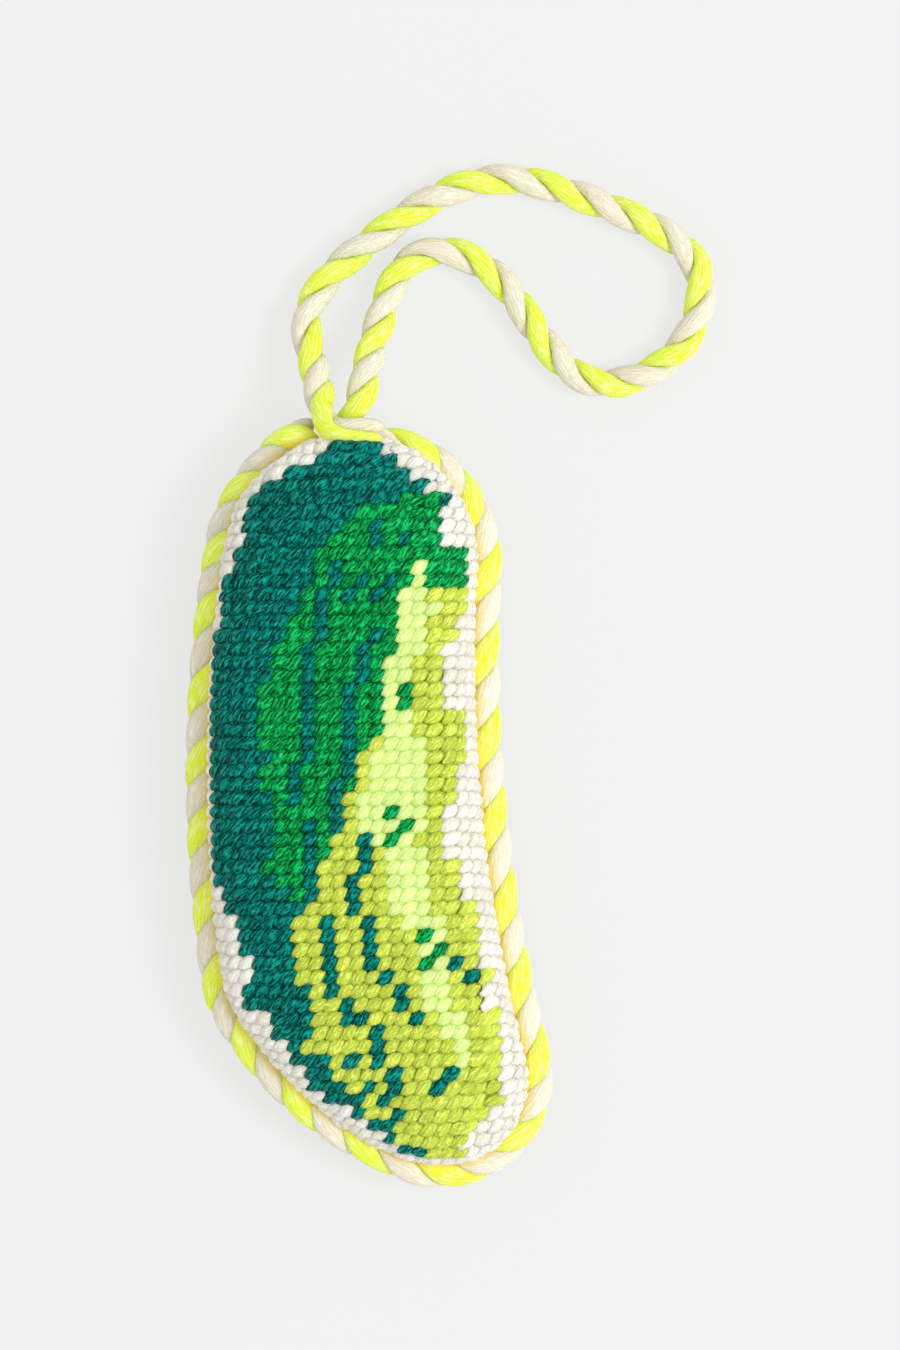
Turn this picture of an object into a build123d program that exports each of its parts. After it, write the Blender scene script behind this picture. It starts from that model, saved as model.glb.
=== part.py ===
"""Stitched pickle ornament: a stuffed needlepoint cushion, edged with twisted cord that ends in a loop.

It lies on its back on a table, stitched face up. The origin is under the middle of the cushion, +Y runs
towards the hanging loop and +Z up through the face. All sizes are in millimetres.
"""

import math
import os

from build123d import *

os.makedirs("parts", exist_ok=True)

# Round ends of the seam line, seen from above
TOP_END_X = -2.2
TOP_END_Y = 34.5
TOP_END_RADIUS = 16.6
FOOT_END_X = 10.7
FOOT_END_Y = -39.8
FOOT_END_RADIUS = 11.1
HEEL_END_X = -7.5
HEEL_END_Y = -23.8
HEEL_END_RADIUS = 11.7

# Long sides that join the ends: the hollow side of the bend, the base and the outer side of the bend
HOLLOW_SIDE_RADIUS = 235.0
BASE_SIDE_RADIUS = 48.9
OUTER_SIDE_RADIUS = 199.9

# Stuffed cushion
SEAM_HEIGHT = 8.0
CROWN_RISE = 10.0
SIDE_BULGE = 1.4
BULGE_HEIGHT = 4.4
ROUND_SHARE = 0.9
SHOULDER_SHARES = (0.0, 0.12, 0.42, 1.0)

# Layers and clearances
YARN_THICKNESS = 1.0
CANVAS_THICKNESS = 0.6
BACK_THICKNESS = 0.9
SEAM_ALLOWANCE = 4.0
LAYER_GAP = 0.1

# Twisted cord, sewn round the edge and left free as the hanging loop
CORD_DIAMETER = 5.1
CORD_SIDES = 8
CORD_GAP = 0.2
LOOP_GAP = 0.3
LEG_GAP = 0.3
LOOP_SHIFT = -2.2
ARC_SHARE = 0.45
END_SHARE = 0.8
END_TAPER = 27.0

# Sewing thread
THREAD_DIAMETER = 0.4
THREAD_SIDES = 4
THREAD_PROUD = 0.3
SEAM_STITCH_SPACING = 5.0
CORD_STITCH_SPACING = 10.5
CORD_STITCH_BITE = 1.6

# Free run of the loop from the left leg to the right leg: mm right of and above the loop's root, and how
# much of the height of the root is left at that point
LOOP_POINTS = (
    (-3.0, 3.4, 0.88),
    (-3.7, 7.3, 0.58),
    (-4.3, 11.1, 0.27),
    (-3.3, 15.0, 0.08),
    (-0.9, 18.4, 0.0),
    (2.1, 21.0, 0.0),
    (6.8, 24.7, 0.0),
    (12.2, 28.4, 0.0),
    (18.2, 31.4, 0.0),
    (24.6, 32.4, 0.0),
    (30.8, 31.3, 0.0),
    (37.0, 29.1, 0.0),
    (42.9, 26.8, 0.0),
    (48.3, 24.2, 0.0),
    (52.2, 20.8, 0.0),
    (53.6, 15.9, 0.0),
    (52.3, 10.7, 0.0),
    (49.9, 6.7, 0.0),
    (45.3, 3.4, 0.0),
    (39.6, 1.8, 0.0),
    (34.3, 3.5, 0.0),
    (30.3, 7.9, 0.0),
    (27.0, 13.3, 0.0),
    (23.4, 18.0, 0.0),
    (18.7, 21.1, 0.0),
    (14.4, 21.8, 0.0),
    (10.4, 20.6, 0.0),
    (7.7, 17.6, 0.03),
    (6.2, 13.5, 0.14),
    (5.0, 9.3, 0.40),
    (4.1, 5.9, 0.68),
    (3.35, 2.9, 0.90),
)

# Stitched picture: edges of its shades from top to foot, as shares of the width and height of the seam
# line's box, so that the picture grows with the panel
GREEN_LEFT_SHARES = (
    (0.38, 1.1), (0.38, 1.02), (0.23, 0.98), (0.10, 0.93), (0.09, 0.89), (0.02, 0.83), (-0.15, 0.73),
    (-0.15, 0.43), (0.03, 0.36), (0.06, 0.28), (0.07, 0.21), (0.16, 0.20), (0.23, 0.15), (0.31, 0.10),
    (0.45, 0.05), (0.62, 0.0), (0.66, -0.1),
)
GREEN_RIGHT_SHARES = (
    (0.54, 1.1), (0.54, 1.02), (0.64, 0.97), (0.72, 0.93), (0.75, 0.88), (0.80, 0.83), (0.80, 0.79),
    (0.76, 0.73), (0.76, 0.65), (0.80, 0.60), (0.78, 0.52), (0.76, 0.46), (0.80, 0.40), (0.82, 0.35),
    (0.85, 0.29), (0.89, 0.24), (0.93, 0.18), (0.96, 0.10), (0.91, 0.06), (0.82, 0.01), (0.79, -0.1),
)
TEAL_SHARES = (
    (0.9, 1.1), (0.9, 0.95), (0.71, 0.94), (0.58, 0.93), (0.44, 0.89), (0.30, 0.83), (0.21, 0.73),
    (0.12, 0.62), (0.15, 0.52), (0.17, 0.42), (0.25, 0.33), (0.23, 0.30), (0.32, 0.22), (0.33, 0.16),
    (0.45, 0.10), (0.60, 0.02), (0.70, -0.1),
)
EMERALD_SHARES = (
    (0.9, 0.95), (0.9, 0.84), (0.74, 0.82), (0.60, 0.79), (0.60, 0.73), (0.53, 0.65), (0.49, 0.59),
    (0.44, 0.50), (0.35, 0.42), (0.24, 0.33),
)
NEON_LEFT_SHARES = (
    (0.64, 0.84), (0.60, 0.79), (0.60, 0.73), (0.53, 0.65), (0.51, 0.59), (0.48, 0.47), (0.55, 0.43),
    (0.57, 0.36), (0.69, 0.30), (0.69, 0.22), (0.83, 0.13),
)
NEON_RIGHT_SHARES = (
    (0.67, 0.84), (0.72, 0.79), (0.70, 0.73), (0.66, 0.70), (0.63, 0.65), (0.67, 0.59), (0.69, 0.52),
    (0.66, 0.43), (0.72, 0.36), (0.77, 0.30), (0.78, 0.22), (0.84, 0.17),
)
BEYOND_LEFT_SHARE = -0.5
SHEET_SCALE = 2.0

cord_radius = CORD_DIAMETER / 2
cord_reach = CORD_GAP + cord_radius
canvas_depth = YARN_THICKNESS + LAYER_GAP
inner_depth = canvas_depth + CANVAS_THICKNESS
flange_inset = inner_depth + SEAM_ALLOWANCE
thread_radius = THREAD_DIAMETER / 2
face_top = SEAM_HEIGHT + CROWN_RISE


def meeting_point(start, start_reach, end, end_reach, side):
    """Point at the given distances from start and end, left (1) or right (-1) of the way between them."""
    span = (end - start).length
    along = (end - start) / span
    run = (span**2 + start_reach**2 - end_reach**2) / (2 * span)
    rise = math.sqrt(start_reach**2 - run**2)
    return start + along * run + Vector(-along.Y, along.X) * side * rise


# Centres of the ends and sides, then moved so that the corded outline is centred on the origin
top_end = Vector(TOP_END_X, TOP_END_Y)
foot_end = Vector(FOOT_END_X, FOOT_END_Y)
heel_end = Vector(HEEL_END_X, HEEL_END_Y)
hollow_side = meeting_point(
    top_end, HOLLOW_SIDE_RADIUS + TOP_END_RADIUS, foot_end, HOLLOW_SIDE_RADIUS + FOOT_END_RADIUS, 1
)
base_side = meeting_point(
    foot_end, BASE_SIDE_RADIUS - FOOT_END_RADIUS, heel_end, BASE_SIDE_RADIUS - HEEL_END_RADIUS, -1
)
outer_side = meeting_point(
    heel_end, OUTER_SIDE_RADIUS - HEEL_END_RADIUS, top_end, OUTER_SIDE_RADIUS - TOP_END_RADIUS, -1
)
seam_left = outer_side.X - OUTER_SIDE_RADIUS
seam_right = foot_end.X + FOOT_END_RADIUS
seam_top = top_end.Y + TOP_END_RADIUS
seam_foot = foot_end.Y - FOOT_END_RADIUS
middle = Vector((seam_left + seam_right) / 2, (seam_top + seam_foot) / 2)
top_end = top_end - middle
foot_end = foot_end - middle
heel_end = heel_end - middle
hollow_side = hollow_side - middle
base_side = base_side - middle
outer_side = outer_side - middle

seam_width = seam_right - seam_left
seam_length = seam_top - seam_foot
crown_inset = ROUND_SHARE * min(TOP_END_RADIUS, FOOT_END_RADIUS, HEEL_END_RADIUS)


def draw_outline(inset):
    """Chain of seven tangent arcs, clockwise from the top, the given distance inside the seam line."""

    def on_end(end, end_radius, towards):
        return end + (towards - end).normalized() * (end_radius - inset)

    top = top_end + Vector(0, TOP_END_RADIUS - inset)
    top_right = on_end(top_end, TOP_END_RADIUS, hollow_side)
    foot_right = on_end(foot_end, FOOT_END_RADIUS, hollow_side)
    foot_left = on_end(foot_end, FOOT_END_RADIUS, foot_end * 2 - base_side)
    heel_low = on_end(heel_end, HEEL_END_RADIUS, heel_end * 2 - base_side)
    heel_high = on_end(heel_end, HEEL_END_RADIUS, heel_end * 2 - outer_side)
    top_left = on_end(top_end, TOP_END_RADIUS, top_end * 2 - outer_side)
    RadiusArc(top, top_right, TOP_END_RADIUS - inset)
    RadiusArc(top_right, foot_right, -(HOLLOW_SIDE_RADIUS + inset))
    RadiusArc(foot_right, foot_left, FOOT_END_RADIUS - inset)
    RadiusArc(foot_left, heel_low, BASE_SIDE_RADIUS - inset)
    RadiusArc(heel_low, heel_high, HEEL_END_RADIUS - inset)
    RadiusArc(heel_high, top_left, OUTER_SIDE_RADIUS - inset)
    RadiusArc(top_left, top, TOP_END_RADIUS - inset)


def half_cushion(depth, widest, crown):
    """Half of the cushion, the given depth under its skin, from the seam to its flat crown."""
    reach = crown_inset + SIDE_BULGE - depth
    sections = [(depth, SEAM_HEIGHT)]
    for share in SHOULDER_SHARES:
        lift = math.sqrt(1 - (1 - share) ** 2)
        sections.append((depth - SIDE_BULGE + share * reach, widest + (crown - widest) * lift))
    with BuildPart() as half:
        for inset, height in sections:
            with BuildSketch(Plane.XY.offset(height)):
                with BuildLine():
                    draw_outline(inset)
                make_face()
        loft(ruled=True)
    return half.part


def face_half(depth):
    """Stitched half of the cushion, the given depth under its face."""
    return half_cushion(depth, SEAM_HEIGHT + BULGE_HEIGHT, face_top - depth)


def back_half(depth):
    """Backing half of the cushion, the given depth under its skin."""
    return half_cushion(depth, SEAM_HEIGHT - BULGE_HEIGHT, depth)


def plate(inset, low, high):
    """Flat plate of the seam's outline, the given distance inside the seam line."""
    with BuildPart() as slab:
        with BuildSketch(Plane.XY.offset(low)):
            with BuildLine():
                draw_outline(inset)
            make_face()
        extrude(amount=high - low)
    return slab.part


def seam_path(inset, height):
    """The seam's outline as one wire, the given distance inside the seam line."""
    with BuildLine() as path:
        draw_outline(inset)
    return path.wire().translate((0, 0, height))


def panel_point(share):
    """Place on the panel of a point given as shares of the seam line's box."""
    return (seam_width * (share[0] - 0.5), seam_length * (share[1] - 0.5))


def finish(builder, name):
    """Label a finished piece and write it."""
    builder.part.label = name
    export_step(builder.part, f"parts/{name}.step")


# Needlepoint canvas: a domed cloth with its seam allowance turned inwards
with BuildPart() as canvas_front:
    add(face_half(canvas_depth))
    add(face_half(inner_depth), mode=Mode.SUBTRACT)
    add(plate(canvas_depth, SEAM_HEIGHT, SEAM_HEIGHT + CANVAS_THICKNESS))
    add(plate(flange_inset, SEAM_HEIGHT, SEAM_HEIGHT + CANVAS_THICKNESS), mode=Mode.SUBTRACT)
finish(canvas_front, "canvas_front")

# Wool stitches: one layer over the canvas, divided by shade
with BuildPart() as yarn_layer:
    add(face_half(0))
    add(face_half(YARN_THICKNESS), mode=Mode.SUBTRACT)


def shade_patch(*corners):
    """Flat patch of the picture with the given corners."""
    with BuildSketch() as patch:
        with BuildLine():
            Polyline(*map(panel_point, corners), close=True)
        make_face()
    return patch.sketch


green_patch = shade_patch(*GREEN_LEFT_SHARES, *reversed(GREEN_RIGHT_SHARES))
teal_patch = shade_patch((BEYOND_LEFT_SHARE, TEAL_SHARES[0][1]), *TEAL_SHARES, (BEYOND_LEFT_SHARE, TEAL_SHARES[-1][1]))
emerald_patch = shade_patch(
    (BEYOND_LEFT_SHARE, EMERALD_SHARES[0][1]), *EMERALD_SHARES, (BEYOND_LEFT_SHARE, EMERALD_SHARES[-1][1])
)
neon_patch = shade_patch(*NEON_LEFT_SHARES, *reversed(NEON_RIGHT_SHARES))

with BuildPart() as yarn_cream:
    with BuildSketch():
        Rectangle(seam_width * SHEET_SCALE, seam_length * SHEET_SCALE)
        add(green_patch, mode=Mode.SUBTRACT)
    extrude(amount=face_top)
    add(yarn_layer.part, mode=Mode.INTERSECT)
finish(yarn_cream, "yarn_cream")

with BuildPart() as yarn_teal:
    with BuildSketch():
        add(green_patch)
        add(teal_patch, mode=Mode.INTERSECT)
    extrude(amount=face_top)
    add(yarn_layer.part, mode=Mode.INTERSECT)
finish(yarn_teal, "yarn_teal")

with BuildPart() as yarn_emerald:
    with BuildSketch():
        add(green_patch)
        add(emerald_patch, mode=Mode.INTERSECT)
        add(teal_patch, mode=Mode.SUBTRACT)
    extrude(amount=face_top)
    add(yarn_layer.part, mode=Mode.INTERSECT)
finish(yarn_emerald, "yarn_emerald")

with BuildPart() as yarn_neon:
    with BuildSketch():
        add(neon_patch)
        add(emerald_patch, mode=Mode.SUBTRACT)
    extrude(amount=face_top)
    add(yarn_layer.part, mode=Mode.INTERSECT)
finish(yarn_neon, "yarn_neon")

with BuildPart() as yarn_lime:
    with BuildSketch():
        add(green_patch)
        for other_patch in (teal_patch, emerald_patch, neon_patch):
            add(other_patch, mode=Mode.SUBTRACT)
    extrude(amount=face_top)
    add(yarn_layer.part, mode=Mode.INTERSECT)
finish(yarn_lime, "yarn_lime")

# Backing cloth: a shallower dome that rests flat, with its seam allowance face to face with the canvas
with BuildPart() as back_panel:
    add(back_half(0))
    add(back_half(BACK_THICKNESS), mode=Mode.SUBTRACT)
    add(plate(0, SEAM_HEIGHT - BACK_THICKNESS, SEAM_HEIGHT))
    add(plate(flange_inset, SEAM_HEIGHT - BACK_THICKNESS, SEAM_HEIGHT), mode=Mode.SUBTRACT)
finish(back_panel, "back_panel")

# Fibre filling: fills both halves and is grooved for the seam allowances and their stitches
groove_low = SEAM_HEIGHT - BACK_THICKNESS - THREAD_PROUD - LAYER_GAP
groove_high = SEAM_HEIGHT + CANVAS_THICKNESS + THREAD_PROUD + LAYER_GAP
with BuildPart() as groove:
    add(plate(-cord_reach, groove_low, groove_high))
    add(plate(flange_inset + LAYER_GAP, groove_low, groove_high), mode=Mode.SUBTRACT)
with BuildPart() as stuffing:
    add(face_half(inner_depth + LAYER_GAP))
    add(back_half(BACK_THICKNESS + LAYER_GAP))
    add(groove.part, mode=Mode.SUBTRACT)
finish(stuffing, "stuffing")

# Seam thread: short stitches through both seam allowances
stitch_line = seam_path(inner_depth + SEAM_ALLOWANCE / 2, SEAM_HEIGHT - BACK_THICKNESS - THREAD_PROUD)
stitch_length = BACK_THICKNESS + CANVAS_THICKNESS + 2 * THREAD_PROUD
stitch_count = round(stitch_line.length / SEAM_STITCH_SPACING)
with BuildPart() as seam_thread:
    for index in range(stitch_count):
        with BuildSketch(Plane(stitch_line @ (index / stitch_count))):
            RegularPolygon(thread_radius, THREAD_SIDES)
    extrude(amount=stitch_length)
finish(seam_thread, "seam_thread")

# Edge cord: a closed ring that lies against the seam all the way round
edge_line = seam_path(-cord_reach, SEAM_HEIGHT)
with BuildPart() as edge_cord:
    with BuildSketch(Plane(edge_line @ 0, z_dir=edge_line % 0)):
        RegularPolygon(cord_radius, CORD_SIDES)
    sweep(path=edge_line)
finish(edge_cord, "edge_cord")

# Cord thread: stitches from the backing's seam allowance into the middle of the edge cord
cord_stitch_height = SEAM_HEIGHT - BACK_THICKNESS / 2
bite_line = seam_path(CORD_STITCH_BITE, cord_stitch_height)
bite_count = round(bite_line.length / CORD_STITCH_SPACING)
with BuildPart() as cord_thread:
    for index in range(bite_count):
        along = bite_line % (index / bite_count)
        with BuildSketch(Plane(bite_line @ (index / bite_count), z_dir=Vector(-along.Y, along.X))):
            RegularPolygon(thread_radius, THREAD_SIDES)
    extrude(amount=CORD_STITCH_BITE + cord_reach)
finish(cord_thread, "cord_thread")

# Hanging loop: one free length of the same cord with rounded ends, which turn beside the edge cord's top
lying_height = cord_radius
edge_top = top_end.Y + TOP_END_RADIUS + cord_reach + cord_radius
root = Vector(top_end.X + LOOP_SHIFT, edge_top + LOOP_GAP + cord_radius)
leg_offset = (CORD_DIAMETER + LEG_GAP) / 2
route = [root + Vector(-leg_offset, 0, SEAM_HEIGHT)]
for right, up, height_left in LOOP_POINTS:
    route.append(root + Vector(right, up, lying_height + height_left * (SEAM_HEIGHT - lying_height)))
route.append(root + Vector(leg_offset, 0, SEAM_HEIGHT))
bend_radii = []
for before, corner, after in zip(route, route[1:], route[2:]):
    turn = (corner - before).get_angle(after - corner)
    shorter_run = min((corner - before).length, (after - corner).length)
    bend_radii.append(ARC_SHARE * shorter_run / math.tan(math.radians(turn) / 2))
with BuildPart() as hanging_loop:
    with BuildLine() as loop_line:
        FilletPolyline(*route, radius=bend_radii)
    with BuildSketch(Plane(loop_line.wire() @ 0, z_dir=loop_line.wire() % 0)) as cord_section:
        RegularPolygon(cord_radius, CORD_SIDES)
    sweep(path=loop_line.wire())
    tube_volume = hanging_loop.part.volume
    tube_ends = [hanging_loop.faces().sort_by_distance(end)[0] for end in (route[0], route[-1])]
    for tube_end in tube_ends:
        extrude(tube_end, amount=END_SHARE * cord_radius, taper=END_TAPER)
finish(hanging_loop, "hanging_loop")

loop_length = loop_line.wire().length
tube_ratio = tube_volume / (loop_length * cord_section.sketch.area)
print("loop bend radii:", [round(radius, 1) for radius in bend_radii])
print(f"loop length {loop_length:.1f}, tube volume over section times length {tube_ratio:.4f}")
print(f"edge cord length {edge_line.length:.1f}")
print(f"loop hinge at {root.X:.2f}, {root.Y:.2f}, {SEAM_HEIGHT:.2f}")
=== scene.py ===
"""Stitched pickle ornament, dressed over its CAD frame: wool stitches, stuffed cushion and twisted cord."""

import math

import bmesh
import bpy
import numpy as np
from mathutils import Euler, Matrix, Vector
from mathutils.bvhtree import BVHTree
from mathutils.kdtree import KDTree


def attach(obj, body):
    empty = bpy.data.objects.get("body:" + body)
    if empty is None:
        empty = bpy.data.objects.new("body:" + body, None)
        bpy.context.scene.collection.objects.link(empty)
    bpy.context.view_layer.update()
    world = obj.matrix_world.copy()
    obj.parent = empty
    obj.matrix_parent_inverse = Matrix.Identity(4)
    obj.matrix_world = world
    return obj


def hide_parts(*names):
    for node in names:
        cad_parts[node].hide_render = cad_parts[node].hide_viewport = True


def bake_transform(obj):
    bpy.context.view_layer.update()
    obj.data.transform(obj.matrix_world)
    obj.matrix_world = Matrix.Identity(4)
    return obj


bl_info = {
    "name": "Pickle ornament",
    "version": (1, 0, 0),
    "blender": (4, 5, 0),
    "location": "3D View > Sidebar > Pickle",
    "description": "Builds a stuffed needlepoint pickle with a corded edge and a hanging loop",
    "category": "Object",
}

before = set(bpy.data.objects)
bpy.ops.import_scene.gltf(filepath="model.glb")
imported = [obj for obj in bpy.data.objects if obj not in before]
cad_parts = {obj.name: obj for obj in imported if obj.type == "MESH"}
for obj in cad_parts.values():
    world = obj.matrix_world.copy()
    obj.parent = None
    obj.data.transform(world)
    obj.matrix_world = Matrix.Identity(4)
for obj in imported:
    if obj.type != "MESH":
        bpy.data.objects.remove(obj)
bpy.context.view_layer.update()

MM = 0.001

# Stage: picture in pixels, sensor in mm, brightness of the seen floor, and floor and lamp in metres
IMAGE_WIDTH, IMAGE_HEIGHT = 900, 1350
SENSOR = 36.0
FLOOR_WHITE = 0.887
FLOOR_REACH = 3.0
LAMP_SIZE = 1.0
LAMP_PLACE = (1.4, -0.2, 1.7)

# Round ends of the seam line (x, y, radius) and the long sides that join them, then the seam's height and the
# distance of the edge cord's middle from it, in mm
TOP_END = (-2.2, 34.5, 16.6)
FOOT_END = (10.7, -39.8, 11.1)
HEEL_END = (-7.5, -23.8, 11.7)
HOLLOW_SIDE_RADIUS = 235.0
BASE_SIDE_RADIUS = 48.9
OUTER_SIDE_RADIUS = 199.9
SEAM_HEIGHT = 8.0
CORD_REACH = 2.75

# Section of a ply in cord diameters: reach of its middle, then its outer, inner and side half-widths
LOOP_PLY = (0.25, 0.25, 0.25, 0.34)
EDGE_PLY = (0.22, 0.28, 0.22, 0.38)

# Surface of a ply: faces round it, its unevenness and the spacing of that in mm, the least share of its size
# at its rounded tips, the turn of its strands in radians for each mm, and how far its fibres' pattern moves
# on in each metre
PLY_SIDES = 20
PLY_UNEVENNESS = 0.03
PLY_UNEVEN_RUN = 2.0
PLY_TIP_SHARE = 0.02
STRAND_TURN = 0.45
FIBRE_RUN = 120.0

# Skin of the cushion before it is filled, from the back to the face: mm inside the seam line and height, then
# the number of the ring where the face's shoulder starts
BACK_RINGS = ((9.5, 0.15), (4.0, 0.5), (1.0, 1.6), (-0.3, 3.2), (-0.7, 4.8), (-0.2, 6.6))
FACE_RINGS = (
    (0.7, 8.0), (-0.6, 9.2), (-1.4, 10.8), (-1.6, 12.4), (-0.7, 14.2), (1.5, 15.5), (5.0, 16.4), (9.6, 16.9),
)
SHOULDER_RING = 3

# Lean of the face and the rise over which it grows, where the flat part of the panel ends, and where the
# stitches stop short of the seam, in mm
FACE_LEAN = (-0.6, 0.5)
FACE_LEAN_RISE = 4.0
FLAT_INSET = 1.0
SEAM_MARGIN = 0.3

# Filling: enlargement for the cloth solver and its frames, then in mm half of the band that the seam holds,
# the lap of canvas and backing there, the gap under the back and the gap round the fibre
SOLVER_SCALE = 5.0
FILL_FRAMES = 16
HELD_BAND = 0.8
SEAM_LAP = 0.6
FLOOR_GAP = 0.1
FIBRE_GAP = 1.2

# Root of the loop and its route from the left leg to the right leg: x and y from the root, then height, in mm
LOOP_ROOT = (-4.65, 59.15)
LOOP_ROUTE = (
    (7.0, -5.7, 11.6), (5.2, -5.6, 12.3), (3.0, -5.5, 12.6), (0.4, -5.5, 12.5), (-1.4, -4.5, 11.8),
    (-2.3, -1.4, 9.9), (-3.1, 3.4, 7.4), (-4.2, 7.3, 5.71), (-4.8, 11.1, 4.02), (-3.5, 15.0, 2.99),
    (-0.9, 18.4, 2.55), (2.1, 21.0, 2.55), (6.8, 24.7, 2.55), (12.2, 28.4, 2.55), (18.2, 31.4, 2.55),
    (24.6, 32.4, 2.55), (30.8, 31.3, 2.55), (37.0, 29.1, 2.55), (42.9, 26.8, 2.55), (48.3, 24.2, 2.55),
    (52.2, 20.8, 2.55), (53.6, 15.9, 2.55), (52.3, 10.7, 2.55), (49.9, 6.7, 2.55), (45.3, 3.4, 2.55),
    (39.6, 1.8, 2.55), (34.3, 3.5, 2.55), (30.3, 7.9, 2.55), (27.0, 13.3, 2.55), (23.4, 18.0, 2.55),
    (18.7, 21.1, 2.55), (14.6, 21.8, 2.55), (10.8, 20.6, 2.55), (8.3, 17.6, 2.71), (6.8, 13.5, 3.31),
    (5.6, 9.3, 4.73), (4.7, 5.9, 6.26), (4.0, 2.9, 7.46), (3.5, 0.0, 8.0), (2.9, -2.2, 8.0), (1.7, -4.2, 7.4),
    (0.2, -5.2, 6.9),
)

# Places in mm where the yellow ply lies on top: along the loop from its left leg, and clockwise round the
# edge from the root
LOOP_YELLOW = (
    (-6.4, 57.8), (-8.9, 65.1), (-4.3, 76.7), (4.6, 85.9), (16.0, 90.5), (28.4, 89.1), (40.2, 84.6),
    (48.7, 76.5), (44.0, 65.7), (34.4, 61.9), (24.6, 68.7), (16.4, 77.9), (4.9, 77.6), (0.6, 67.3),
    (-0.9, 57.8),
)
EDGE_YELLOW = (
    (-5.0, 54.0), (8.6, 51.2), (15.4, 43.1), (17.5, 32.7), (17.5, 20.8), (17.5, 8.5), (18.2, -3.0),
    (19.7, -15.6), (22.9, -26.5), (24.6, -38.2), (21.7, -49.1), (10.6, -54.2), (-1.8, -50.4),
    (-11.4, -43.6), (-18.7, -34.8), (-23.2, -25.0), (-24.1, -14.2), (-25.1, -3.2), (-25.4, 6.8),
    (-25.1, 17.1), (-23.8, 28.8), (-22.2, 37.1), (-18.3, 46.4), (-11.1, 54.0),
)

# Points by which the edge cord starts before its first yellow place, and where it leaves its even line beside
# the root, at its start and its end: mm along it, mm outwards
EDGE_LEAD = 4
EDGE_START_SHIFT = ((0.0, -0.3), (4.0, -0.7), (10.0, -0.7), (16.0, 0.0))
EDGE_END_SHIFT = ((0.0, 1.3), (4.0, 1.1), (8.0, 0.4), (12.0, 0.0))

# How far inside the edge cord's middle the painted reflection and shade in its groove beside the cushion
# start, and are strongest, in mm
GROOVE_START = -0.1
GROOVE_END = 1.25

# Twist of the plies: how far on the next place is sought, in mm, and the pitches of the stretched turn before
# the first place
NEXT_SPOT_REACH = 25.0
FIRST_TURN_PITCHES = 4.5

# One tent stitch: half its length in pitches, its slant, the sink of its ends and its arch in rises, faces
# along and round it, fullness towards its ends, and turn, run and difference of its strands
STITCH_HALF = 0.52
STITCH_SLANT = 0.44
STITCH_SINK = 0.6
STITCH_ARCH = 2.6
STITCH_STEPS = 6
STITCH_SIDES = 8
STITCH_PLUMPNESS = 1.1
STITCH_END_POWER = 5.0
STITCH_STRAND_TURN = -1.6
STITCH_STRAND_RUN = 2.2
STITCH_STRAND_SPREAD = 50.0

# Shares of the painted glow, for the neon dye's fluorescence and a brighter cream, and of light that goes
# through the wool, by shade
WOOL_GLOW = {"neon": 1.8, "cream": 0.8}
WOOL_SOFTNESS = {"neon": 0.6, "cream": 0.6, "lime": 0.2}

# Lay of the stitches: reach of the measuring points in pitches, how much a bend across and along stretches a
# stitch, and its least and most stretch
PROBE_SHARE = 0.45
BEND_STRETCH = (0.5, 0.25)
STITCH_STRETCH = (0.8, 1.6)

# Hand of the stitcher: seed, then spread of a stitch's turn in radians, of its size, and of its place in mm
STITCH_SEED = 7
TURN_SPREAD = 0.08
SIZE_SPREAD = 0.05
PLACE_SPREAD = 0.04

# Stitch chart: left edge of the first column and middle of the first row, in mm, the rows and columns that
# can be worked, where and how fast the columns lean to the right, and how many rows at the top are moved
# down, by how many mm at the first
CHART_LEFT = -23.65
CHART_TOP = 52.32
CHART_ROWS = range(-7, 62)
CHART_COLUMNS = range(-8, 32)
LEAN_START = 10.0
LEAN_RATE = 0.0011
CROWDED_ROWS = 24
TOP_CROWDING = 0.6

# Edges of the shades as (row from the top, column), and the first row with lime at the right of the neon
GREEN_START = (
    (0, 9.0), (1, 7.6), (2, 6.0), (3, 4.0), (5, 3.0), (7, 2.6), (8, 2.2), (9, 1.9), (10, 1.4), (12, 0.9),
    (16, 0.0), (30, 0.0), (32, 0.5), (34, 1.3), (35, 1.6), (37, 1.7), (38, 2.7), (39, 2.7), (40, 1.7),
    (41, 1.9), (42, 3.7), (45, 5.0), (48, 7.1), (49, 9.2), (52, 12.5),
)
GREEN_END = (
    (0, 12.7), (4, 17.5), (5, 17.3), (7, 17.3), (8, 18.8), (12, 18.8), (13, 18.1), (14, 18.0), (15, 17.4),
    (19, 17.4), (20, 18.8), (23, 18.8), (25, 18.0), (26, 17.6), (27, 17.4), (30, 17.4), (31, 17.8),
    (33, 18.0), (34, 19.0), (37, 19.2), (38, 18.9), (39, 19.8), (40, 19.2), (41, 19.2), (42, 19.8),
    (46, 19.9), (48, 20.0), (50, 18.0), (53, 16.1),
)
EMERALD_START = (
    (4, 13.6), (5, 11.4), (6, 10.5), (7, 8.7), (10, 7.6), (13, 6.0), (16, 5.0), (20, 3.7), (22, 3.9),
    (23, 4.7), (25, 3.9), (27, 5.2), (31, 4.4), (33, 5.6), (35, 6.0),
)
LIME_START = (
    (22, 11.6), (23, 10.7), (26, 10.5), (29, 9.3), (32, 8.0), (34, 7.3), (35, 5.8), (37, 5.6), (39, 6.5),
    (42, 7.2), (44, 6.1), (45, 8.2), (46, 8.4), (47, 9.0), (48, 9.9), (49, 10.4), (51, 12.2), (52, 13.6),
)
NEON_START = (
    (9, 14.9), (12, 14.0), (14, 14.2), (17, 12.6), (22, 12.6), (26, 11.3), (28, 11.2), (30, 12.7), (34, 13.1),
    (35, 13.8), (37, 15.5), (39, 14.9), (42, 15.8), (45, 17.5),
)
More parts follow.
